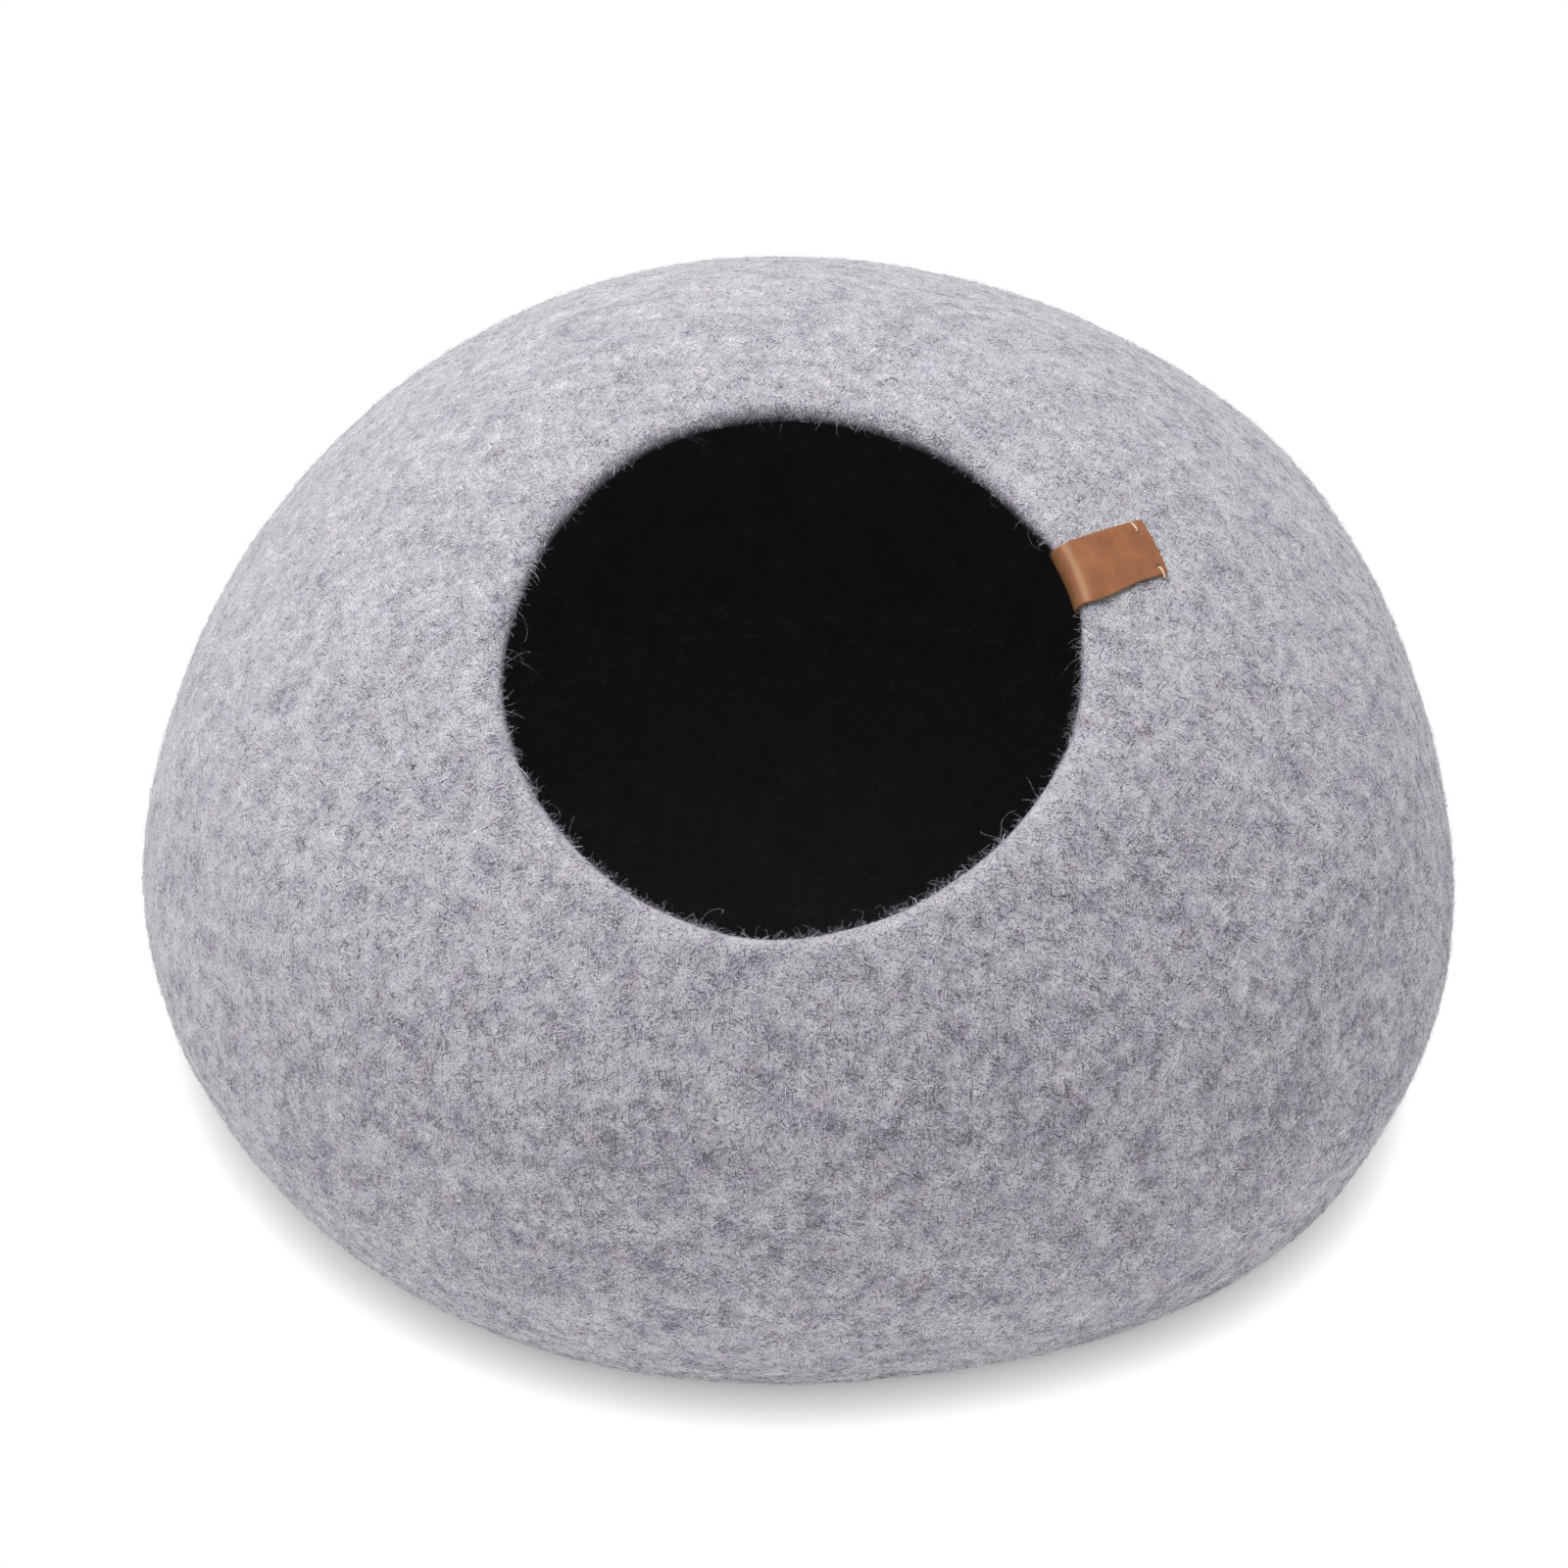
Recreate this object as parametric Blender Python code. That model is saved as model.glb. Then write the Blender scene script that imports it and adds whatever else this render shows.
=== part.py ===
"""A felt cat cave: one seamless felted wall with a round mouth, and a leather tag folded over its lip.

Metres, +Z up. The cave stands on the floor with the origin under its middle. The mouth leans
towards the front, which is -Y, and the tag is on the right of the mouth, towards the back.
"""

import math
from collections import namedtuple
from itertools import chain

import bmesh
import bpy
import numpy as np
from mathutils import Quaternion, Vector

MM = 0.001

# The wall's outer face, as rings from the floor up to the lip, in mm. Each ring is an oval with
# its half-widths across and front to back, its middle moved right and back, its height, and a
# tilt in degrees that dips its front.
Ring = namedtuple("Ring", "across deep right back height tilt")
RINGS = (
    Ring(150, 145, 0, -5.5, 0, 0),
    Ring(208, 202, 1, -5.5, 0, 0),
    Ring(232, 227, 1, -4.5, 14, 0),
    Ring(245, 241, 1, -2.5, 44, 0),
    Ring(251.5, 244, 2.5, -1.5, 79, 1),
    Ring(241, 237, 1, -4, 120, 4),
    Ring(223, 214.5, 0, -16, 162, 5.5),
    Ring(188.5, 182.5, -1.5, -34.5, 199, 10.5),
    Ring(147, 142.5, -2, -60.5, 227, 16.5),
    Ring(110.5, 107, -3, -81.5, 238.5, 19),
)
FLOOR_RING = 1  # the row where the wall leaves the floor
LIP_RING = len(RINGS) - 1

# Hand shaping leaves the rings a little out of round. A lobe swells a ring by a share of its
# radius, at as many places as it has crests, one of them at its angle in degrees. Its share and
# angle at the floor give way to those at the lip.
Lobe = namedtuple("Lobe", "crests at_floor floor_angle at_lip lip_angle")
LOBES = (
    Lobe(2, 0.0145, -13, 0.022, 78),
    Lobe(3, 0.025, -38.5, 0.010, 8),
    Lobe(4, 0.0175, 45, 0.007, 5),
    Lobe(5, 0.014, -32, 0.004, -23),
)

WALL = 8 * MM  # thickness of the felt
LIP = 11 * MM  # thickness of the rounded lip, where the felt is rubbed over and swells
LIP_UNDER_TAG = 7.5 * MM  # thickness of the lip where the tag squeezes it
LIP_SWELL = 0.6  # the felt thickens over this share of the last step between rings

# The tag, a leather strip folded over the lip
TAG_ANGLE = 20.5  # degrees around the mouth, from the right towards the back
TAG_SKEW = 9  # degrees off square to the lip, with the outer end towards the back
TAG_REACH = 16  # degrees from the middle of the tag to where the lip is thick again
TAG_WIDTH = 25 * MM
TAG_LEG = 33 * MM  # from the lip to each end, outside and inside
TAG_THICK = 1.4 * MM
TAG_GAP = 0.4 * MM  # between the leather and the felt

# How finely the shapes are made
AROUND = 72  # points around a ring
STEPS = 3  # steps between two rows of RINGS
STEPS_BY_LIP = 8  # steps between the last two rows, where the felt swells
LIP_STEPS = 8  # steps over the lip
TAG_LEG_STEPS = 9
TAG_FOLD_STEPS = 8
TAG_ACROSS_STEPS = 4
NEAR = 0.02  # the small step, in rows and in radians, that directions are measured over


def bends(values):
    """How sharply a natural spline through evenly spaced values bends at each of them."""
    count = len(values)
    weights = np.eye(count)
    turns = np.zeros(count)
    for row in range(1, count - 1):
        weights[row, row - 1 : row + 2] = 1, 4, 1
        turns[row] = 6 * (values[row - 1] - 2 * values[row] + values[row + 1])
    return np.linalg.solve(weights, turns)


RING_COLUMNS = [(column, bends(column)) for column in zip(*RINGS)]


def ring_at(place):
    """The ring at a place along the wall: 0 is the first row of RINGS and LIP_RING the last."""
    row = min(int(place), LIP_RING - 1)
    above = place - row
    below = 1 - above
    return Ring(*(
        below * values[row]
        + above * values[row + 1]
        + ((below**3 - below) * bend[row] + (above**3 - above) * bend[row + 1]) / 6
        for values, bend in RING_COLUMNS
    ))


def eased(share):
    """A share that leaves 0 and reaches 1 softly, and stays between them."""
    share = min(max(share, 0), 1)
    return share * share * (3 - 2 * share)


def out_of_round(place, angle):
    """What the lobes multiply a ring's radius by at an angle."""
    up = place / LIP_RING
    swell = 1.0
    for lobe in LOBES:
        floor_wave = math.cos(lobe.crests * (angle - math.radians(lobe.floor_angle)))
        lip_wave = math.cos(lobe.crests * (angle - math.radians(lobe.lip_angle)))
        swell += (1 - up) * lobe.at_floor * floor_wave + up * lobe.at_lip * lip_wave
    return swell


def outer_face(place, angle):
    """The point of the outer face at a place along the wall and an angle around it."""
    ring = ring_at(place)
    swell = out_of_round(place, angle)
    across = ring.across * swell * math.cos(angle)
    deep = ring.deep * swell * math.sin(angle)
    tilt = math.radians(ring.tilt)
    return MM * Vector((
        ring.right + across,
        ring.back + deep * math.cos(tilt),
        max(ring.height + deep * math.sin(tilt), 0),
    ))


def directions(place, angle):
    """Unit vectors at a point of the outer face: out of the felt, around the ring, and square to
    the ring towards the mouth."""
    along = outer_face(place, angle) - outer_face(place - NEAR, angle)
    around = (outer_face(place, angle + NEAR) - outer_face(place, angle - NEAR)).normalized()
    out = Vector((0, 0, -1)) if place <= FLOOR_RING else around.cross(along).normalized()
    return out, around, out.cross(around)


def thickness(place, angle):
    """The felt's thickness, which grows near the lip, but less where the tag squeezes it."""
    from_tag = abs(math.remainder(angle - math.radians(TAG_ANGLE), 2 * math.pi))
    under_tag = eased(2 - 2 * from_tag / math.radians(TAG_REACH))
    lip = LIP + (LIP_UNDER_TAG - LIP) * under_tag
    return WALL + (lip - WALL) * eased(1 - (LIP_RING - place) / LIP_SWELL)


def off_outer_face(place, angle, away):
    """The point this far off the outer face, measured out of the felt."""
    return outer_face(place, angle) + directions(place, angle)[0] * away


def off_inner_face(place, angle, away):
    """The point this far off the inner face, measured into the hollow."""
    return off_outer_face(place, angle, -thickness(place, angle) - away)


def off_lip(turn, angle, away):
    """The point this far off the rounded lip, which turns from 0 outside to pi inside."""
    out, _, inwards = directions(LIP_RING, angle)
    radius = thickness(LIP_RING, angle) / 2
    middle = off_outer_face(LIP_RING, angle, -radius)
    return middle + (radius + away) * (math.cos(turn) * out + math.sin(turn) * inwards)


def lip_turns(steps):
    """The turns between the outside and the inside of the lip, in this many steps."""
    return [math.pi * step / steps for step in range(1, steps)]


def through_rows(rows):
    """A sheet of four-sided faces through rows of points, all as long as the first."""
    sheet = bmesh.new()
    bmesh.ops.create_grid(sheet, x_segments=len(rows[0]) - 1, y_segments=len(rows) - 1, size=1)
    for vert, point in zip(sheet.verts, chain(*rows)):
        vert.co = point
    return sheet


def felt_shell():
    """The seamless wall, ring by ring up the outside, over the lip and down the inside, with each
    end closed by a fan of faces in the middle of the floor."""
    angles = [2 * math.pi * step / AROUND for step in range(AROUND)]
    places = [0]
    for row in range(FLOOR_RING, LIP_RING):
        steps = STEPS_BY_LIP if row == LIP_RING - 1 else STEPS
        places += [row + step / steps for step in range(steps)]
    places.append(LIP_RING)
    grey_rings = [[off_outer_face(place, angle, 0) for angle in angles] for place in places]
    grey_rings += [[off_lip(turn, angle, 0) for angle in angles] for turn in lip_turns(LIP_STEPS)]
    black_rings = [[off_inner_face(place, angle, 0) for angle in angles] for place in reversed(places)]

    shell = through_rows([ring + ring[:1] for ring in grey_rings + black_rings])
    for step, face in enumerate(shell.faces):
        face.material_index = int(step // AROUND >= len(grey_rings))
    bmesh.ops.remove_doubles(shell, verts=shell.verts, dist=MM / 100)
    ends = [edge for edge in shell.edges if edge.is_boundary]
    floors = bmesh.ops.holes_fill(shell, edges=ends)["faces"]
    for face in bmesh.ops.poke(shell, faces=floors)["faces"]:
        face.material_index = int(face.calc_center_median().z > WALL / 2)
    bmesh.ops.recalc_face_normals(shell, faces=shell.faces)
    return shell


def tag_angle(place, off):
    """The angle at which a ring is this far to the side of the strip's middle line."""
    middle = math.radians(TAG_ANGLE)
    out, across, _ = directions(LIP_RING, middle)
    across.rotate(Quaternion(out, math.radians(TAG_SKEW)))
    low, high = middle - 1, middle + 1
    for _ in range(30):
        angle = (low + high) / 2
        if (outer_face(place, angle) - outer_face(LIP_RING, middle)).dot(across) < off:
            low = angle
        else:
            high = angle
    return angle


def tag_places():
    """Places along the wall at even steps down the strip's middle line, from the lip to its end."""
    places = [float(LIP_RING)]
    place = places[0]
    point = outer_face(place, tag_angle(place, 0))
    gone = 0.0
    while len(places) <= TAG_LEG_STEPS:
        place -= NEAR / 2
        before, point = point, outer_face(place, tag_angle(place, 0))
        gone += (point - before).length
        if gone >= TAG_LEG * len(places) / TAG_LEG_STEPS:
            places.append(place)
    return places


def tag_strip():
    """The strip's middle sheet: its outer leg, its fold over the lip and its inner leg."""
    away = TAG_GAP + TAG_THICK / 2
    places = tag_places()
    rows = []
    for side in range(TAG_ACROSS_STEPS + 1):
        off = TAG_WIDTH * (side / TAG_ACROSS_STEPS - 0.5)
        leg = [(place, tag_angle(place, off)) for place in places]
        lip_angle = leg[0][1]
        row = [off_outer_face(place, angle, away) for place, angle in reversed(leg)]
        row += [off_lip(turn, lip_angle, away) for turn in lip_turns(TAG_FOLD_STEPS)]
        row += [off_inner_face(place, angle, away) for place, angle in leg]
        rows.append(row)
    return through_rows(rows)


def material(name, colour, roughness):
    made = bpy.data.materials.new(name)
    made.use_nodes = True
    shader = made.node_tree.nodes["Principled BSDF"]
    shader.inputs["Base Color"].default_value = (*colour, 1)
    shader.inputs["Roughness"].default_value = roughness
    shader.inputs["Metallic"].default_value = 0
    return made


def placed(name, shape, *materials):
    """The object made of a bmesh, with its materials, linked to the scene."""
    mesh = bpy.data.meshes.new(name)
    shape.to_mesh(mesh)
    shape.free()
    for made in materials:
        mesh.materials.append(made)
    mesh.shade_smooth()
    made = bpy.data.objects.new(name, mesh)
    bpy.context.scene.collection.objects.link(made)
    return made


def main():
    for old in list(bpy.data.objects):
        bpy.data.objects.remove(old)

    grey_wool = material("grey wool felt", (0.50, 0.50, 0.53), 1.0)
    black_wool = material("black wool felt", (0.006, 0.005, 0.007), 1.0)
    tan_leather = material("tan leather", (0.32, 0.13, 0.05), 0.45)

    placed("shell", felt_shell(), grey_wool, black_wool)

    tag = placed("tag", tag_strip(), tan_leather)
    leather = tag.modifiers.new("leather thickness", "SOLIDIFY")
    leather.thickness = TAG_THICK
    leather.offset = 0
    leather.use_even_offset = True


main()
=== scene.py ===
"""A felt cat cave: a thick seamless wall of grey wool felt, black inside, with a leather tag folded
over the lip of its round mouth. Everything is in metres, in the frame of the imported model."""

import math
from collections import namedtuple

import bmesh
import bpy
import numpy as np
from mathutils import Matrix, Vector, noise


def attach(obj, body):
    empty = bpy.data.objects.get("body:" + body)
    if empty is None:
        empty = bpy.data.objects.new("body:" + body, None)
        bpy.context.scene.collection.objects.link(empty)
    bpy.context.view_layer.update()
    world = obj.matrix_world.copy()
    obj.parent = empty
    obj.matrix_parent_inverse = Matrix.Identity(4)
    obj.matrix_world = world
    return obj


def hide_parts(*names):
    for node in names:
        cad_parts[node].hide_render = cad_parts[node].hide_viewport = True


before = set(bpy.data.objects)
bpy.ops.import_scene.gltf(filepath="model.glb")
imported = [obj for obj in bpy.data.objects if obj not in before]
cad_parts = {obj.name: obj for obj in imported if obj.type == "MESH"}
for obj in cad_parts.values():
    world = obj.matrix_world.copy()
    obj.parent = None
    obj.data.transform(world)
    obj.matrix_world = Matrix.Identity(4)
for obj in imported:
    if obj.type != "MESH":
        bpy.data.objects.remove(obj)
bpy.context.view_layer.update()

MM = 0.001


# ---- The felt wall ---------------------------------------------------------------------------
# One seamless wall of wet-felted wool, about 8 mm thick, drawn in to a round mouth and rubbed over
# at the lip. The wool is a grey heather, and the layer felted into its inside is black.

HOLLOW_MIDDLE = Vector((0, -10 * MM, 100 * MM))  # a point in the hollow that sees its whole inside
LUMPS = ((34 * MM, 0.55 * MM), (13 * MM, 0.22 * MM), (6 * MM, 0.10 * MM))  # how wide and how high
LEVEL_FOOT = 12 * MM  # the lumps die out over this height above the floor


def mesh_of(name, shape):
    """A mesh made of a bmesh, which is used up."""
    mesh = bpy.data.meshes.new(name)
    shape.to_mesh(mesh)
    shape.free()
    return mesh


def new_piece(name, mesh, *materials):
    """A new piece made of a mesh, riding on the one body."""
    mesh.shade_smooth()
    for material in materials:
        mesh.materials.append(material)
    piece = bpy.data.objects.new(name, mesh)
    bpy.context.scene.collection.objects.link(piece)
    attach(piece, "root")
    return piece


def refined(piece, levels):
    """Smooths the piece's mesh with a subdivision that is then made part of the mesh."""
    smooth = piece.modifiers.new("smooth", "SUBSURF")
    smooth.levels = smooth.render_levels = levels
    finished = piece.evaluated_get(bpy.context.evaluated_depsgraph_get())
    piece.data = bpy.data.meshes.new_from_object(finished)
    piece.modifiers.clear()


def frame_shape(node):
    """A bmesh copy of a CAD node, with its loose triangles merged and paired."""
    shape = bmesh.new()
    shape.from_mesh(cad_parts[node].data)
    bmesh.ops.remove_doubles(shape, verts=shape.verts, dist=0.02 * MM)
    bmesh.ops.join_triangles(
        shape,
        faces=shape.faces,
        angle_face_threshold=math.radians(40),
        angle_shape_threshold=math.radians(50),
    )
    return shape


def new_node(nodes, kind, **settings):
    """A node with its properties and its inputs set by name."""
    node = nodes.new(kind)
    for name, value in settings.items():
        socket = name.replace("_", " ").title()
        if name in node.bl_rna.properties:
            setattr(node, name, value)
        else:
            node.inputs[socket].default_value = value
    return node


def new_group(name, inputs, outputs):
    """An empty shader node group with float and vector sockets."""
    group = bpy.data.node_groups.new(name, "ShaderNodeTree")
    for socket, kind, value in inputs:
        made = group.interface.new_socket(socket, in_out="INPUT", socket_type=kind)
        if value is not None:
            made.default_value = value
    for socket, kind in outputs:
        group.interface.new_socket(socket, in_out="OUTPUT", socket_type=kind)
    return group, group.nodes.new("NodeGroupInput"), group.nodes.new("NodeGroupOutput")


# Wool fibres lie in every direction, so the strokes are drawn out in turn along six directions,
# the long diagonals of an icosahedron.
GOLD = (1 + math.sqrt(5)) / 2
STROKE_WAYS = ((0, 1, GOLD), (0, -1, GOLD), (1, GOLD, 0), (-1, GOLD, 0), (GOLD, 0, 1), (GOLD, 0, -1))
BEND_WIDE = 7 * MM  # the strokes bend to and fro over about this length

strokes, given, result = new_group(
    "wool strokes",
    (
        ("Vector", "NodeSocketVector", None),
        ("Length", "NodeSocketFloat", 5 * MM),
        ("Width", "NodeSocketFloat", 0.5 * MM),
        ("Curl", "NodeSocketFloat", 2 * MM),
    ),
    (("Light", "NodeSocketFloat"), ("Dark", "NodeSocketFloat")),
)
nodes, links = strokes.nodes, strokes.links

curl_noise = new_node(nodes, "ShaderNodeTexNoise", scale=1 / BEND_WIDE, detail=1.0)
centred = new_node(nodes, "ShaderNodeVectorMath", operation="SUBTRACT")
centred.inputs[1].default_value = (0.5, 0.5, 0.5)
curled = new_node(nodes, "ShaderNodeVectorMath", operation="SCALE")
shifted = new_node(nodes, "ShaderNodeVectorMath", operation="ADD")
links.new(given.outputs["Vector"], curl_noise.inputs["Vector"])
links.new(curl_noise.outputs["Color"], centred.inputs[0])
links.new(centred.outputs["Vector"], curled.inputs[0])
links.new(given.outputs["Curl"], curled.inputs["Scale"])
links.new(given.outputs["Vector"], shifted.inputs[0])
links.new(curled.outputs["Vector"], shifted.inputs[1])

along = new_node(nodes, "ShaderNodeMath", operation="DIVIDE")
across = new_node(nodes, "ShaderNodeMath", operation="DIVIDE")
stretch = nodes.new("ShaderNodeCombineXYZ")
for share, size, sockets in ((along, "Length", "X"), (across, "Width", "YZ")):
    share.inputs[0].default_value = 1
    links.new(given.outputs[size], share.inputs[1])
    for socket in sockets:
        links.new(share.outputs[0], stretch.inputs[socket])

lightest, darkest = None, None
for way in STROKE_WAYS:
    turned = new_node(nodes, "ShaderNodeVectorRotate", rotation_type="EULER_XYZ")
    turn = Vector(way).rotation_difference(Vector((1, 0, 0)))
    turned.inputs["Rotation"].default_value = turn.to_euler()
    drawn = new_node(nodes, "ShaderNodeVectorMath", operation="MULTIPLY")
    fibre = new_node(nodes, "ShaderNodeTexNoise", scale=1.0, detail=1.0, roughness=0.6)
    links.new(shifted.outputs["Vector"], turned.inputs["Vector"])
    links.new(turned.outputs["Vector"], drawn.inputs[0])
    links.new(stretch.outputs["Vector"], drawn.inputs[1])
    links.new(drawn.outputs["Vector"], fibre.inputs["Vector"])
    if lightest is None:
        lightest = darkest = fibre.outputs["Fac"]
        continue
    lighter = new_node(nodes, "ShaderNodeMath", operation="MAXIMUM")
    darker = new_node(nodes, "ShaderNodeMath", operation="MINIMUM")
    for pick, so_far in ((lighter, lightest), (darker, darkest)):
        links.new(so_far, pick.inputs[0])
        links.new(fibre.outputs["Fac"], pick.inputs[1])
    lightest, darkest = lighter.outputs[0], darker.outputs[0]
links.new(lightest, result.inputs["Light"])
links.new(darkest, result.inputs["Dark"])


def ramp(nodes, links, source, *stops):
    """A colour ramp over a value, from (position, colour) stops."""
    made = nodes.new("ShaderNodeValToRGB")
    elements = made.color_ramp.elements
    while len(elements) < len(stops):
        elements.new(0.5)
    for element, (position, colour) in zip(elements, stops):
        element.position = position
        element.color = (*colour, 1)
    links.new(source, made.inputs["Fac"])
    return made.outputs["Color"]


def grey(level):
    return (level, level, level)


def mixed(nodes, links, blend, share, first, second):
    """Two colours mixed; each of the three can be a socket or a plain value."""
    mix = new_node(nodes, "ShaderNodeMix", data_type="RGBA", blend_type=blend)
    for socket, value in ((0, share), (6, first), (7, second)):  # 6 and 7 are its two colours
        if isinstance(value, bpy.types.NodeSocket):
            links.new(value, mix.inputs[socket])
        else:
            mix.inputs[socket].default_value = value if socket == 0 else (*value, 1)
    return mix.outputs[2]


def new_material(name, settings):
    """A material, its shader with inputs set by name, and its nodes and links."""
    made = bpy.data.materials.new(name)
    made.use_nodes = True
    shader = made.node_tree.nodes["Principled BSDF"]
    for socket, value in settings.items():
        shader.inputs[socket].default_value = value
    return made, shader, made.node_tree.nodes, made.node_tree.links


GREY_WOOL_DARK, GREY_WOOL_MID, GREY_WOOL_LIGHT = 0.055, 0.41, 0.84
GREY_WOOL_TINT = np.array((0.962, 0.934, 1.012))
BLACK_WOOL_DARK, BLACK_WOOL_LIGHT = (0.020, 0.013, 0.022), (0.086, 0.064, 0.092)
STROKE_LONG, STROKE_WIDE, STROKE_CURL = 6.5 * MM, 0.46 * MM, 3.5 * MM
CLUMP_WIDE, DRIFT_WIDE, DYE_WIDE = 7 * MM, 18 * MM, 8 * MM
PILL_HIGH, STROKE_HIGH = 1.6 * MM, 0.45 * MM
MATT = {"Roughness": 0.95, "Specular IOR Level": 0.05, "Sheen Weight": 0.08, "Sheen Roughness": 0.5}


def wool_material(name):
    """Heather grey wool of strokes, clumps and drifts, which turns black inside the cave, with some
    painted shade in the band between them at the lip.
    """
    made, shader, nodes, links = new_material(name, MATT)
    place = nodes.new("ShaderNodeTexCoord").outputs["Object"]

    fine = nodes.new("ShaderNodeGroup")
    fine.node_tree = strokes
    fine.inputs["Length"].default_value = STROKE_LONG
    fine.inputs["Width"].default_value = STROKE_WIDE
    fine.inputs["Curl"].default_value = STROKE_CURL
    links.new(place, fine.inputs["Vector"])
    clumps = new_node(nodes, "ShaderNodeTexNoise", scale=1 / CLUMP_WIDE, detail=4.0, roughness=0.65)
    drifts = new_node(nodes, "ShaderNodeTexNoise", scale=1 / DRIFT_WIDE, detail=4.0, roughness=0.7)
    dyes = new_node(nodes, "ShaderNodeTexNoise", scale=1 / DYE_WIDE, detail=2.0)
    for texture in (clumps, drifts, dyes):
        links.new(place, texture.inputs["Vector"])

    light = ramp(nodes, links, fine.outputs["Light"], (0.57, grey(0)), (0.76, grey(1)))
    dark = ramp(nodes, links, fine.outputs["Dark"], (0.25, grey(1)), (0.42, grey(0)))
    mottle = ramp(
        nodes,
        links,
        clumps.outputs["Fac"],
        (0.33, grey(GREY_WOOL_MID * 0.38)),
        (0.49, grey(GREY_WOOL_MID)),
        (0.66, grey(GREY_WOOL_LIGHT * 0.80)),
    )
    wool = mixed(nodes, links, "MIX", light, mottle, grey(GREY_WOOL_LIGHT))
    wool = mixed(nodes, links, "MIX", dark, wool, grey(GREY_WOOL_DARK))
    drift = ramp(
        nodes,
        links,
        drifts.outputs["Fac"],
        (0.32, GREY_WOOL_TINT * (0.72, 0.715, 0.755)),
        (0.50, GREY_WOOL_TINT),
        (0.68, GREY_WOOL_TINT * (1.16, 1.17, 1.145)),
    )
    drift = mixed(nodes, links, "LINEAR_LIGHT", 0.06, drift, dyes.outputs["Color"])
    wool = mixed(nodes, links, "MULTIPLY", 1.0, wool, drift)

    black = mixed(nodes, links, "MIX", light, BLACK_WOOL_DARK, BLACK_WOOL_LIGHT)
    faded = ramp(nodes, links, drifts.outputs["Fac"], (0.36, (0.5, 0.6, 0.7)), (0.64, (1.6, 1.4, 1.4)))
    black = mixed(nodes, links, "MULTIPLY", 1.0, black, faded)
    inward = nodes.new("ShaderNodeAttribute")
    inward.attribute_name = "inward"
    ragged = new_node(nodes, "ShaderNodeMath", operation="MULTIPLY_ADD")
    links.new(clumps.outputs["Fac"], ragged.inputs[0])
    ragged.inputs[1].default_value = 0.5
    links.new(inward.outputs["Fac"], ragged.inputs[2])
    # The grey turns black over a soft band where the wall turns in at the lip: partly the black inner
    # layer, partly painted shade where the lip rolls under.
    inside = ramp(
        nodes, links, ragged.outputs[0], (0.66, grey(0)), (0.85, grey(0.7)), (0.98, grey(1))
    )
    links.new(mixed(nodes, links, "MIX", inside, wool, black), shader.inputs["Base Color"])

    pills = new_node(nodes, "ShaderNodeBump", strength=1.0, distance=PILL_HIGH)
    links.new(clumps.outputs["Fac"], pills.inputs["Height"])
    height = mixed(nodes, links, "SUBTRACT", 1.0, light, dark)
    bump = new_node(nodes, "ShaderNodeBump", strength=0.9, distance=STROKE_HIGH)
    links.new(height, bump.inputs["Height"])
    links.new(pills.outputs["Normal"], bump.inputs["Normal"])
    links.new(bump.outputs["Normal"], shader.inputs["Normal"])
    return made


wool_felt = wool_material("heather wool felt")
wall = new_piece("felt_wall", mesh_of("felt_wall", frame_shape("shell")), wool_felt)
refined(wall, 2)


def inwardness(vert):
    """How far a point of the wall faces into the hollow, from 0 outside to 1 inside."""
    return 0.5 - 0.5 * vert.normal.dot((vert.co - HOLLOW_MIDDLE).normalized())


shape = bmesh.new()
shape.from_mesh(wall.data)
inward_layer = shape.verts.layers.float.new("inward")
shape.normal_update()
moves = []
for vert in shape.verts:
    vert[inward_layer] = inwardness(vert)
    foot = min(max(vert.co.z / LEVEL_FOOT, 0), 1)
    lump = sum(noise.noise(vert.co / wide) * high for wide, high in LUMPS)
    moves.append(vert.normal * lump * foot)
for vert, move in zip(shape.verts, moves):
    vert.co += move
shape.to_mesh(wall.data)
shape.free()
wall.data.shade_smooth()

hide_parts("shell")


# ---- The leather tag -------------------------------------------------------------------------
# A bare strip of smooth tan leather, folded over the lip, with cut edges. A stitch near each outer
# corner holds it to the felt.

TAG_PRESS = 0.7 * MM  # how deep the stitches press its outer leg into the felt
TAG_RISE = 1.1 * MM  # from the felt to the leather's face there
STRIP_BACK = Vector((123.3, -16.2, 249.1)) * MM  # the back corner of the outer leg's end
STRIP_WIDTH = Vector((7.9, -23.3, -7.4)) * MM  # from there to its front corner
STRIP_OUT = Vector((0.77, 0.58, -0.26))  # which way the outer leg points
LEGS_APART = 6 * MM  # the inner leg is further than this below the outer one
CORNER_IN, CORNER_OUT = 2.1 * MM, 2.4 * MM  # the front corner is cut in, and reaches out
CUT_FROM, CUT_TO = 33 * MM, 20 * MM  # the cut begins and is whole at these distances from the end
EDGE_ROUND = 0.3 * MM
HOLES = (Vector((121.4, -22.4, 0)) * MM, Vector((128.7, -34.9, 0)) * MM)  # seen from above
HOLE_WIDE = 0.75 * MM
HOLE_DEEP = 0.5 * MM
# the colour of the painted shade in the stitch holes
HOLE_PAINTED_SHADE = (0.02, 0.01, 0.006)
LEATHER_DARK = (0.128, 0.045, 0.0150)
LEATHER_MID = (0.158, 0.059, 0.0205)
LEATHER_LIGHT = (0.196, 0.077, 0.028)
STAIN_WIDE, PORE_WIDE, GRAIN_WIDE, GRAIN_HIGH = 9 * MM, 0.55 * MM, 0.8 * MM, 0.12 * MM
GLEAM = {"Specular IOR Level": 0.4, "Specular Tint": (1.0, 0.74, 0.50, 1)}


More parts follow.
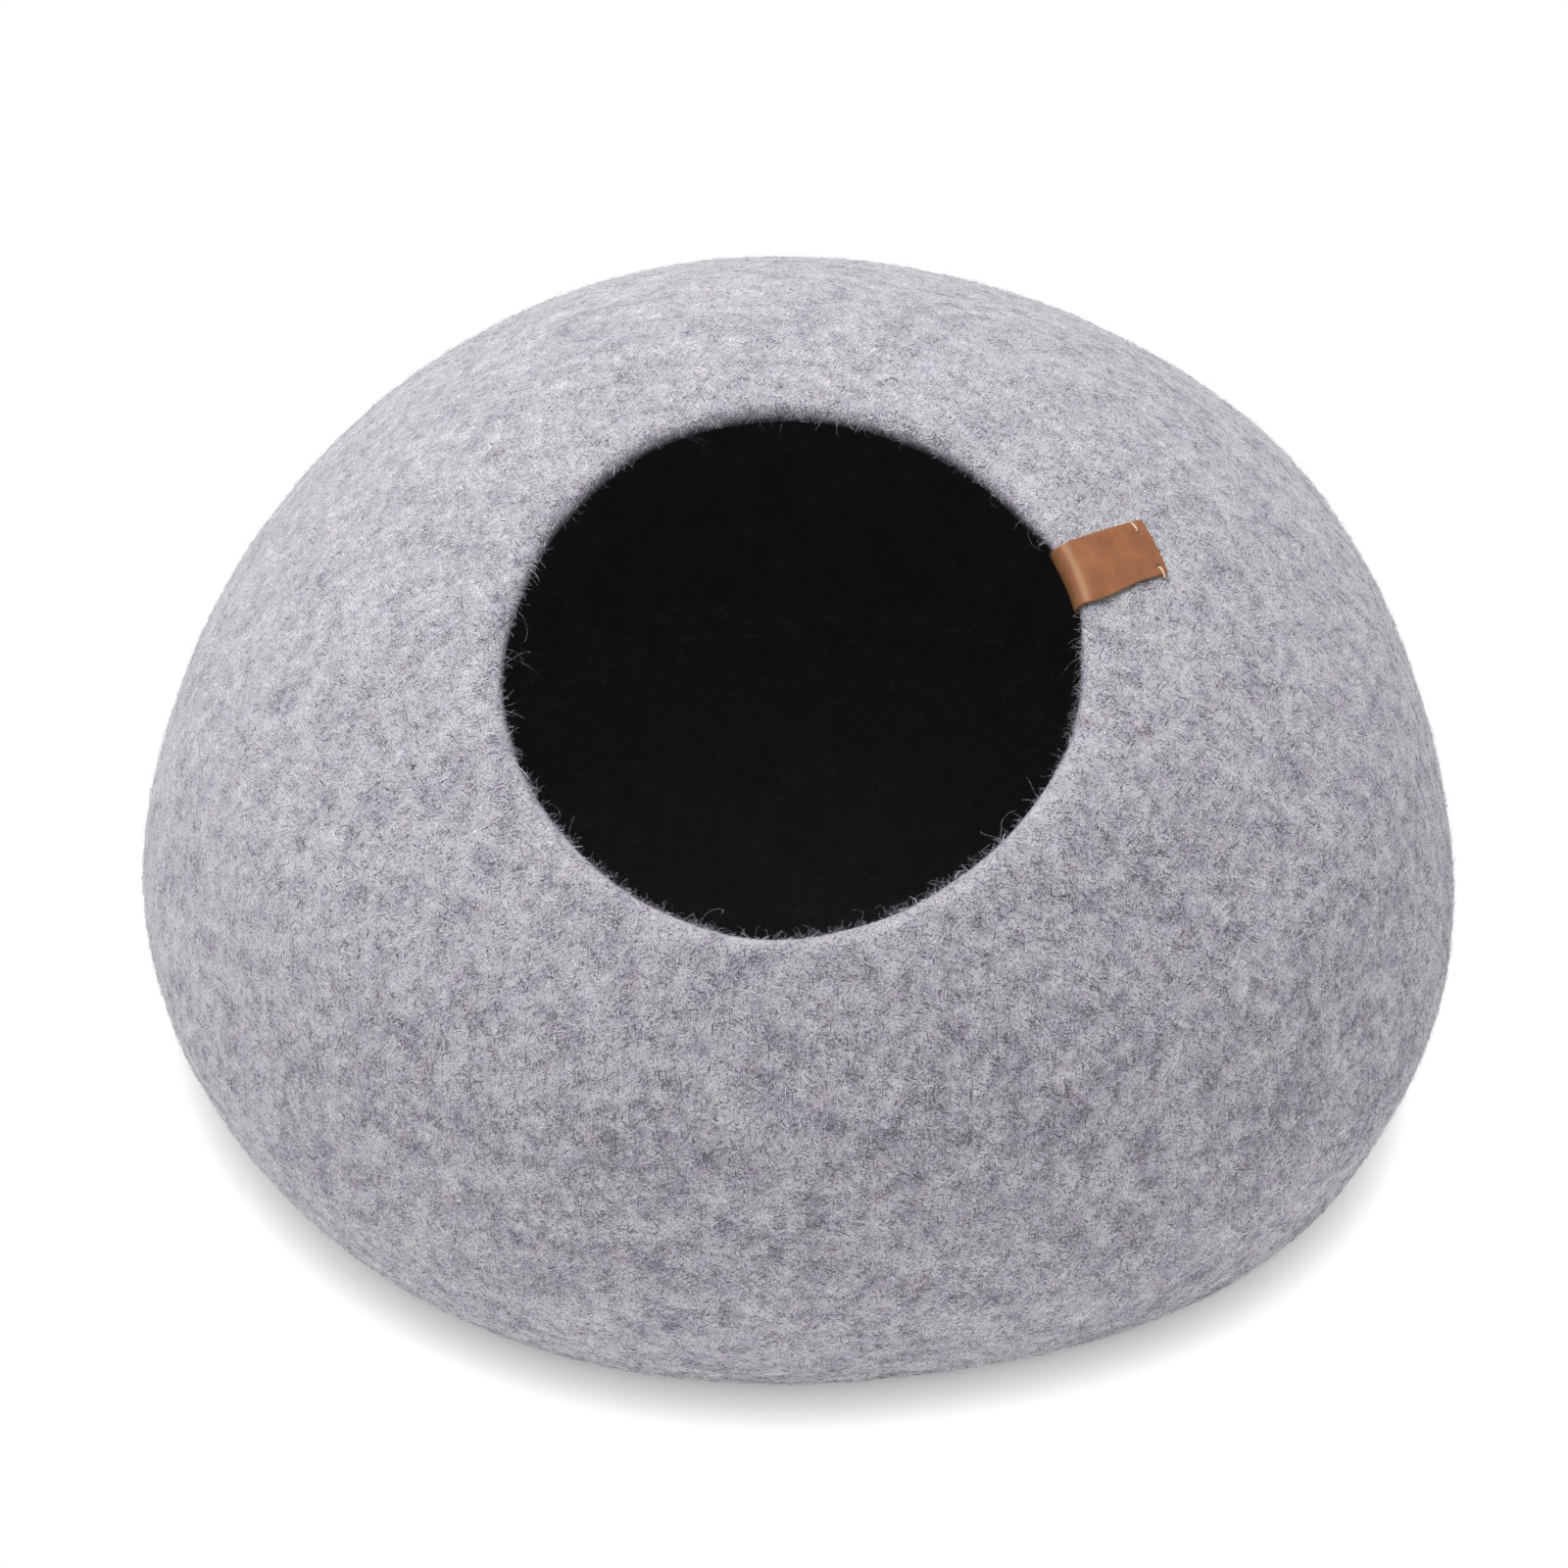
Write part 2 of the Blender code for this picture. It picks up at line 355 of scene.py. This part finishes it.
def leather_material(name, holes):
    """Tan leather with a soft stain, fine grain and pores, and painted shade dark in the stitch holes.
    """
    made, shader, nodes, links = new_material(name, GLEAM)
    place = nodes.new("ShaderNodeTexCoord").outputs["Object"]
    stain = new_node(nodes, "ShaderNodeTexNoise", scale=1 / STAIN_WIDE, detail=3.0)
    pores = new_node(nodes, "ShaderNodeTexVoronoi", scale=1 / PORE_WIDE)
    grain = new_node(nodes, "ShaderNodeTexNoise", scale=1 / GRAIN_WIDE, detail=4.0, roughness=0.7)
    for texture in (stain, pores, grain):
        links.new(place, texture.inputs["Vector"])
    tan = ramp(
        nodes,
        links,
        stain.outputs["Fac"],
        (0.3, LEATHER_DARK),
        (0.5, LEATHER_MID),
        (0.7, LEATHER_LIGHT),
    )
    fleck = ramp(nodes, links, grain.outputs["Fac"], (0.35, grey(0.82)), (0.6, grey(1.0)))
    tan = mixed(nodes, links, "MULTIPLY", 1.0, tan, fleck)
    # a disc of painted shade in each stitch hole
    for hole in holes:
        away = new_node(nodes, "ShaderNodeVectorMath", operation="DISTANCE")
        links.new(place, away.inputs[0])
        away.inputs[1].default_value = hole
        rim = nodes.new("ShaderNodeMapRange")
        links.new(away.outputs["Value"], rim.inputs["Value"])
        rim.inputs["From Min"].default_value = HOLE_WIDE * 0.7
        rim.inputs["From Max"].default_value = HOLE_WIDE * 1.4
        tan = mixed(nodes, links, "MIX", rim.outputs["Result"], HOLE_PAINTED_SHADE, tan)
    links.new(tan, shader.inputs["Base Color"])
    gloss = ramp(nodes, links, grain.outputs["Fac"], (0.3, grey(0.46)), (0.7, grey(0.32)))
    links.new(gloss, shader.inputs["Roughness"])
    height = mixed(nodes, links, "ADD", 0.5, grain.outputs["Fac"], pores.outputs["Distance"])
    bump = new_node(nodes, "ShaderNodeBump", strength=0.35, distance=GRAIN_HIGH)
    links.new(height, bump.inputs["Height"])
    links.new(bump.outputs["Normal"], shader.inputs["Normal"])
    return made


def top_of(piece, place):
    """The highest point of a piece under or over a place, and its normal there."""
    bpy.context.view_layer.update()
    found, spot, out, _ = piece.ray_cast(Vector((place.x, place.y, 1)), Vector((0, 0, -1)))
    if not found:
        raise ValueError(f"{piece.name} isn't at {place}")
    return spot, out


shape = frame_shape("tag")
strip_up = STRIP_WIDTH.cross(STRIP_OUT).normalized()
for vert in shape.verts:
    from_back = vert.co - STRIP_BACK
    if from_back.dot(strip_up) > -LEGS_APART:
        across = min(max(from_back.dot(STRIP_WIDTH) / STRIP_WIDTH.length_squared, 0), 1)
        along = min(max((CUT_FROM + from_back.dot(STRIP_OUT)) / (CUT_FROM - CUT_TO), 0), 1)
        vert.co += along * across * CORNER_OUT * STRIP_OUT
        vert.co -= along * across * CORNER_IN * STRIP_WIDTH.normalized()
        vert.co -= along * TAG_PRESS * strip_up
cut_edges = [edge for edge in shape.edges if edge.calc_face_angle(0) > math.radians(50)]
bmesh.ops.bevel(
    shape,
    geom=cut_edges,
    offset=EDGE_ROUND,
    offset_type="OFFSET",
    segments=2,
    profile=0.5,
    affect="EDGES",
    material=-1,
)
tag = new_piece("leather_tag", mesh_of("leather_tag", shape))
refined(tag, 3)
hole_spots = [top_of(tag, hole) for hole in HOLES]
tag.data.materials.append(leather_material("tan leather", [spot for spot, _ in hole_spots]))
for vert in tag.data.vertices:
    for spot, out in hole_spots:
        near = max(0, 1 - (vert.co - spot).length / (2 * HOLE_WIDE))
        vert.co -= out * HOLE_DEEP * near
tag.data.shade_smooth()
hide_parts("tag")


# ---- The stitches ----------------------------------------------------------------------------
# One stitch of golden two-ply thread near each outer corner of the tag. It comes up through a hole,
# crosses the strip's edge and goes down into the felt.

THREAD_PLY = 0.26 * MM  # radius of each of the two plies
THREAD_TWIST = 2.2 * MM  # length of one full twist
THREAD_DARK, THREAD_LIGHT = (0.55, 0.30, 0.14), (0.92, 0.62, 0.38)
FRAY_WIDE, FRAY_HIGH = 0.3 * MM, 0.05 * MM
DIVES = (Vector((118.5, -18.9, 0)) * MM, Vector((130.2, -37.9, 0)) * MM)  # into the felt, from above
START_DEEP, END_DEEP = 1.2 * MM, 1.5 * MM  # how far the thread's ends run on, out of sight
THREAD_STEPS = 40


def thread_path(hole, dive):
    """Points up out of the hole, over the leather and down into the felt."""
    (spot, out), (end, _) = hole, top_of(wall, dive)
    edge = end + out * (TAG_RISE - THREAD_PLY)
    rim = spot + (edge - spot).normalized() * HOLE_WIDE
    over = rim.lerp(edge, 0.5) + out * 2 * THREAD_PLY
    knots = [
        spot - out * START_DEEP,
        rim + out * 0.4 * THREAD_PLY,
        over,
        edge,
        end,
        end - out * END_DEEP,
    ]
    spline = []
    for step in range(THREAD_STEPS + 1):
        at = step / THREAD_STEPS * (len(knots) - 1)
        index = min(int(at), len(knots) - 2)
        before, start = knots[max(index - 1, 0)], knots[index]
        stop, after = knots[index + 1], knots[min(index + 2, len(knots) - 1)]
        share = at - index
        spline.append(
            0.5
            * (
                2 * start
                + (stop - before) * share
                + (2 * before - 5 * start + 4 * stop - after) * share**2
                + (3 * start - before - 3 * stop + after) * share**3
            )
        )
    return spline


def thread_material(name):
    """Golden thread with fine, darker fraying."""
    made, shader, nodes, links = new_material(name, {"Roughness": 0.45})
    place = nodes.new("ShaderNodeTexCoord").outputs["Object"]
    fray = new_node(nodes, "ShaderNodeTexNoise", scale=1 / FRAY_WIDE, detail=2.0)
    links.new(place, fray.inputs["Vector"])
    gold = ramp(nodes, links, fray.outputs["Fac"], (0.3, THREAD_DARK), (0.7, THREAD_LIGHT))
    links.new(gold, shader.inputs["Base Color"])
    bump = new_node(nodes, "ShaderNodeBump", strength=0.4, distance=FRAY_HIGH)
    links.new(fray.outputs["Fac"], bump.inputs["Height"])
    links.new(bump.outputs["Normal"], shader.inputs["Normal"])
    return made


golden_thread = thread_material("golden thread")
for name, hole, dive in zip(("stitch_back", "stitch_front"), hole_spots, DIVES):
    path = thread_path(hole, dive)
    thread = bpy.data.curves.new(name, "CURVE")
    thread.dimensions = "3D"
    thread.bevel_depth = THREAD_PLY
    thread.bevel_resolution = 2
    thread.use_fill_caps = True
    gone = 0.0
    plies = [[], []]
    for step, point in enumerate(path):
        way = (path[min(step + 1, THREAD_STEPS)] - path[max(step - 1, 0)]).normalized()
        gone += (point - path[max(step - 1, 0)]).length
        beside = way.cross(hole[1]).normalized()
        above = beside.cross(way)
        twist = 2 * math.pi * gone / THREAD_TWIST
        lean = THREAD_PLY * 0.85 * (math.cos(twist) * beside + math.sin(twist) * above)
        plies[0].append(point + lean)
        plies[1].append(point - lean)
    for ply in plies:
        spline = thread.splines.new("POLY")
        spline.points.add(len(ply) - 1)
        for knot, point in zip(spline.points, ply):
            knot.co = (*point, 1)
    curve = bpy.data.objects.new(name + "_curve", thread)
    bpy.context.scene.collection.objects.link(curve)
    mesh = bpy.data.meshes.new_from_object(curve.evaluated_get(bpy.context.evaluated_depsgraph_get()))
    bpy.data.objects.remove(curve)
    mesh.materials.clear()
    stitch = new_piece(name, mesh, golden_thread)


# ---- The loose wool --------------------------------------------------------------------------
# Fibres of grey wool that rubbing left loose, each a thin closed spindle with its root in the felt.
# Most lie flat on the face in every direction, some stand off it as fuzz, and finer ones stand out
# of the lip in tufts. None grows under the tag.

# A kind of fibre: how many, from how short to how long and of what radius, in mm, then in radians
# how far it curls and how it rises off the face, with the spread of that. Its droop is the share of
# the rise that it loses by its tip. Points is how many it is drawn with, tips and all.
Wool = namedtuple("Wool", "name count short long girth curl rise spread droop points shades on_lip seed")
WOOLS = (
    Wool("flat_wool_first", 31000, 1.5, 5, 0.11, 1.0, 0.22, 0.10, 1.75, 3, (0.35, 0.9), False, 3),
    Wool("flat_wool_second", 31000, 1.5, 5, 0.10, 1.0, 0.18, 0.10, 1.75, 3, (-0.1, 0.7), False, 4),
    Wool("long_wool", 12500, 3, 10, 0.085, 1.8, 0.16, 0.08, 1.75, 4, (0.5, 0.95), False, 5),
    Wool("fuzz", 8000, 2, 5.5, 0.035, 1.3, 0.8, 0.3, 1.75, 4, (0.3, 0.9), False, 6),
    Wool("lip_fuzz", 3300, 0.8, 3.4, 0.028, 0.9, 1.0, 0.4, 0.8, 5, (0.2, 0.8), True, 7),
    Wool("lip_strays", 1200, 2.5, 7, 0.020, 1.3, 1.1, 0.4, 0.8, 7, (0.2, 0.8), True, 8),
    Wool("lip_curls", 85, 6, 18, 0.017, 3.4, 0.9, 0.5, 1.4, 12, (0.2, 0.8), True, 9),
)
ROOT_DEPTH = 0.12 * MM  # how deep a fibre starts under the face
FOOT_CLEAR = 4 * MM  # no fibre starts lower than this
TAG_CLEAR = 1.2 * MM  # and none starts nearer to the tag than this
LIP_HEIGHT = 170 * MM  # the whole lip is above this
LIP_OUTSIDE, LIP_INSIDE = 0.27, 0.55  # the lip's fibres grow where the inwardness is between these
GREY_INSIDE = 0.58  # and the others where it is less than this
TUFT_WIDE = 7 * MM
FIBRE_SIDES = 3
FIBRE_DARK, FIBRE_MID, FIBRE_PALE = (0.045, 0.043, 0.048), (0.36, 0.35, 0.39), (0.66, 0.64, 0.69)
SHADE_WIDE = 2 * MM  # a fibre's shade drifts along it over about this length

wall.data.calc_loop_triangles()
face_count = len(wall.data.loop_triangles)
corners = np.empty(face_count * 3, dtype=np.int32)
wall.data.loop_triangles.foreach_get("vertices", corners)
corners = corners.reshape(-1, 3)
points = np.empty(len(wall.data.vertices) * 3)
wall.data.vertices.foreach_get("co", points)
points = points.reshape(-1, 3)
outs = np.empty(len(points) * 3)
wall.data.vertices.foreach_get("normal", outs)
outs = outs.reshape(-1, 3)
inwards = np.empty(len(points))
wall.data.attributes["inward"].data.foreach_get("value", inwards)
face_points = points[corners]
face_areas = 0.5 * np.linalg.norm(
    np.cross(face_points[:, 1] - face_points[:, 0], face_points[:, 2] - face_points[:, 0]), axis=1
)
face_middles = face_points.mean(axis=1)
face_inwards = inwards[corners].mean(axis=1)

tag_points = np.array([vert.co for vert in tag.data.vertices])
near_tag = (face_middles > tag_points.min(axis=0) - TAG_CLEAR).all(axis=1)
near_tag &= (face_middles < tag_points.max(axis=0) + TAG_CLEAR).all(axis=1)
for index in np.flatnonzero(near_tag):
    spot = tag.closest_point_on_mesh(Vector(face_middles[index]))[1]
    near_tag[index] = (spot - Vector(face_middles[index])).length < TAG_CLEAR

face_sown = face_areas * (face_inwards < GREY_INSIDE) * (face_middles[:, 2] > FOOT_CLEAR) * ~near_tag
on_lip = (face_inwards > LIP_OUTSIDE) & (face_inwards < LIP_INSIDE)
on_lip &= (face_middles[:, 2] > LIP_HEIGHT) & ~near_tag
lip_sown = np.zeros(face_count)
for index in np.flatnonzero(on_lip):
    tuft = noise.noise(Vector(face_middles[index]) / TUFT_WIDE)
    lip_sown[index] = face_areas[index] * max(0.15, 0.6 + 1.2 * tuft)


def unit(vectors):
    return vectors / np.linalg.norm(vectors, axis=-1, keepdims=True)


def loose_wool(wool, material):
    """One mesh of a kind of fibre, strewn over the grey face or along the lip."""
    # Where each fibre has its root, and the directions there.
    random = np.random.default_rng(wool.seed)
    sown = lip_sown if wool.on_lip else face_sown
    picked = random.choice(face_count, wool.count, p=sown / sown.sum())
    weights = random.dirichlet((1, 1, 1), wool.count)[..., None]
    out = unit((outs[corners[picked]] * weights).sum(axis=1))
    root = (face_points[picked] * weights).sum(axis=1) - out * ROOT_DEPTH
    side = unit(np.cross(out, (0.3, 0.2, 1.0)))
    fore = np.cross(out, side)

    # The way it runs from there, point by point.
    share = np.linspace(0, 1, wool.points)
    length = (wool.short + (wool.long - wool.short) * random.random(wool.count) ** 1.7) * MM
    heading = random.uniform(0, 2 * math.pi, (wool.count, 1))
    heading = heading + random.normal(0, wool.curl, (wool.count, 1)) * share
    rise = np.abs(random.normal(wool.rise, wool.spread, (wool.count, 1)))
    rise = rise * (1 - wool.droop * random.uniform(0.8, 1.2, (wool.count, 1)) * share)
    ways = (
        (np.cos(rise) * np.cos(heading))[..., None] * side[:, None]
        + (np.cos(rise) * np.sin(heading))[..., None] * fore[:, None]
        + np.sin(rise)[..., None] * out[:, None]
    )
    steps = ways[:, :-1] * (length / (wool.points - 1))[:, None, None]
    path = root[:, None] + np.concatenate([np.zeros_like(root)[:, None], steps.cumsum(axis=1)], axis=1)

    # Its spindle: a tip, a ring of points around each point between, and the other tip.
    middle = path[:, 1:-1]
    beside = unit(np.cross(ways[:, 1:-1], out[:, None] + 0.01))
    above = np.cross(ways[:, 1:-1], beside)
    turns = 2 * math.pi * np.arange(FIBRE_SIDES) / FIBRE_SIDES
    girth = wool.girth * MM * random.uniform(0.7, 1.2, (wool.count, 1, 1, 1))
    rings = middle[:, :, None] + girth * (
        np.cos(turns)[:, None] * beside[:, :, None] + np.sin(turns)[:, None] * above[:, :, None]
    )
    each = 2 + FIBRE_SIDES * (wool.points - 2)
    verts = np.concatenate(
        [path[:, :1], rings.reshape(wool.count, -1, 3), path[:, -1:]], axis=1
    ).reshape(-1, 3)

    faces = []
    last = each - 1
    for turn in range(FIBRE_SIDES):
        after = (turn + 1) % FIBRE_SIDES
        faces.append((0, 1 + after, 1 + turn))
        for ring in range(wool.points - 3):
            low, high = 1 + FIBRE_SIDES * ring, 1 + FIBRE_SIDES * (ring + 1)
            faces.append((low + turn, low + after, high + after))
            faces.append((low + turn, high + after, high + turn))
        end = last - FIBRE_SIDES
        faces.append((last, end + turn, end + after))
    faces = (np.array(faces)[None] + each * np.arange(wool.count)[:, None, None]).reshape(-1, 3)

    mesh = bpy.data.meshes.new(wool.name)
    mesh.from_pydata(verts, [], faces)
    shade = mesh.attributes.new("shade", "FLOAT", "POINT")
    shade.data.foreach_set("value", np.repeat(random.uniform(*wool.shades, wool.count), each))
    piece = new_piece(wool.name, mesh, material)


def fibre_material(name):
    """Single fibres: each has its own shade, and the shade drifts a little along it."""
    made, shader, nodes, links = new_material(name, {"Roughness": 0.8, "Specular IOR Level": 0.1})
    shade = nodes.new("ShaderNodeAttribute")
    shade.attribute_name = "shade"
    place = nodes.new("ShaderNodeTexCoord").outputs["Object"]
    drift = new_node(nodes, "ShaderNodeTexNoise", scale=1 / SHADE_WIDE, detail=1.0)
    links.new(place, drift.inputs["Vector"])
    drifted = new_node(nodes, "ShaderNodeMath", operation="MULTIPLY_ADD")
    links.new(drift.outputs["Fac"], drifted.inputs[0])
    drifted.inputs[1].default_value = 0.3
    links.new(shade.outputs["Fac"], drifted.inputs[2])
    colour = ramp(
        nodes, links, drifted.outputs[0], (0.10, FIBRE_DARK), (0.55, FIBRE_MID), (1.0, FIBRE_PALE)
    )
    links.new(colour, shader.inputs["Base Color"])
    return made


wool_fibre = fibre_material("loose wool fibre")
for wool in WOOLS:
    loose_wool(wool, wool_fibre)


# ---- The studio ------------------------------------------------------------------------------
# A plain white floor, soft light from the upper left and behind, and the camera that looks down
# on the cave from the front, as in the photo.

CAMERA_PLACE = (-0.0052, -1.3995, 1.5442)
CAMERA_TILT = math.radians(44)  # up from straight down
CAMERA_LENS, CAMERA_SENSOR = 121.2, 36  # in mm
FLOOR_WIDE = 12.0
FLOOR_WHITE = (0.95, 0.95, 0.95, 1)
FLOOR_GLOW = 0.52  # the floor's painted glow, which lights the cave's lower half
PAINTED_SHADOW_REACH = 17 * MM  # the washed-out floor keeps only a narrow painted shadow around the cave's foot
PAINTED_SHADOW_FADE = 0.9
KEY_PLACE, KEY_AIM = Vector((-0.5, 1.0, 2.4)), Vector((0, 0, 0.1))
KEY_WIDE, KEY_POWER = 2.0, 117
KEY_COLOUR = (0.99, 0.98, 1.01)
ROOM_GLOW = 0.325

camera_data = bpy.data.cameras.new("camera")
camera_data.lens = CAMERA_LENS
camera_data.sensor_width = CAMERA_SENSOR
camera_data.clip_end = 20
camera = bpy.data.objects.new("camera", camera_data)
camera.location = CAMERA_PLACE
camera.rotation_euler = (CAMERA_TILT, 0, 0)
bpy.context.scene.collection.objects.link(camera)
bpy.context.scene.camera = camera

shape = bmesh.new()
bmesh.ops.create_grid(shape, x_segments=1, y_segments=1, size=FLOOR_WIDE / 2)
floor_mesh = mesh_of("floor", shape)
floor_paint = bpy.data.materials.new("white floor")
floor_paint.use_nodes = True
nodes, links = floor_paint.node_tree.nodes, floor_paint.node_tree.links
# The floor that the camera sees is a glow that falls with the ambient occlusion: a painted shadow around
# the cave's foot.
near = new_node(nodes, "ShaderNodeAmbientOcclusion", samples=16, distance=PAINTED_SHADOW_REACH)
shade = new_node(nodes, "ShaderNodeMath", operation="POWER")
links.new(near.outputs["AO"], shade.inputs[0])
shade.inputs[1].default_value = PAINTED_SHADOW_FADE
seen, lit = nodes.new("ShaderNodeEmission"), nodes.new("ShaderNodeBsdfDiffuse")
links.new(shade.outputs[0], seen.inputs["Strength"])
lit.inputs["Color"].default_value = FLOOR_WHITE
# a painted glow from the floor, seen by all rays but the camera's, lights the cave's lower half
glow = nodes.new("ShaderNodeEmission")
glow.inputs["Strength"].default_value = FLOOR_GLOW
giving, either = nodes.new("ShaderNodeAddShader"), nodes.new("ShaderNodeMixShader")
links.new(lit.outputs["BSDF"], giving.inputs[0])
links.new(glow.outputs["Emission"], giving.inputs[1])
links.new(nodes.new("ShaderNodeLightPath").outputs["Is Camera Ray"], either.inputs["Fac"])
links.new(giving.outputs["Shader"], either.inputs[1])
links.new(seen.outputs["Emission"], either.inputs[2])
links.new(either.outputs["Shader"], nodes["Material Output"].inputs["Surface"])
nodes.remove(nodes["Principled BSDF"])
floor_mesh.materials.append(floor_paint)
floor = bpy.data.objects.new("floor", floor_mesh)
bpy.context.scene.collection.objects.link(floor)


key_data = bpy.data.lights.new("key", "AREA")
key_data.size = KEY_WIDE
key_data.energy = KEY_POWER
key_data.color = KEY_COLOUR
key = bpy.data.objects.new("key", key_data)
key.location = KEY_PLACE
key.rotation_euler = (KEY_AIM - KEY_PLACE).to_track_quat("-Z", "Y").to_euler()
bpy.context.scene.collection.objects.link(key)

world = bpy.data.worlds.new("studio")
world.use_nodes = True
nodes, links = world.node_tree.nodes, world.node_tree.links
nodes["Background"].inputs["Color"].default_value = (1, 1, 1, 1)
strength = nodes.new("ShaderNodeMapRange")  # the camera sees a backdrop as white as the floor
links.new(nodes.new("ShaderNodeLightPath").outputs["Is Camera Ray"], strength.inputs["Value"])
strength.inputs["To Min"].default_value = ROOM_GLOW
strength.inputs["To Max"].default_value = 1.0
links.new(strength.outputs["Result"], nodes["Background"].inputs["Strength"])
bpy.context.scene.world = world

# The camera's tone curve holds back the bright wool, and the paler floor still washes out to white.
# The white all round also veils the black a little.
TONES = ((0.02, 0.046), (0.12, 0.19), (0.2, 0.32), (0.31, 0.464), (0.62, 0.71))
VEIL = 0.0037
view = bpy.context.scene.view_settings
view.view_transform = "Standard"
view.use_curve_mapping = True
tone_points = view.curve_mapping.curves[3].points
tone_points[0].location = (0, VEIL)
for tone in TONES:
    tone_points.new(*tone)
view.curve_mapping.update()
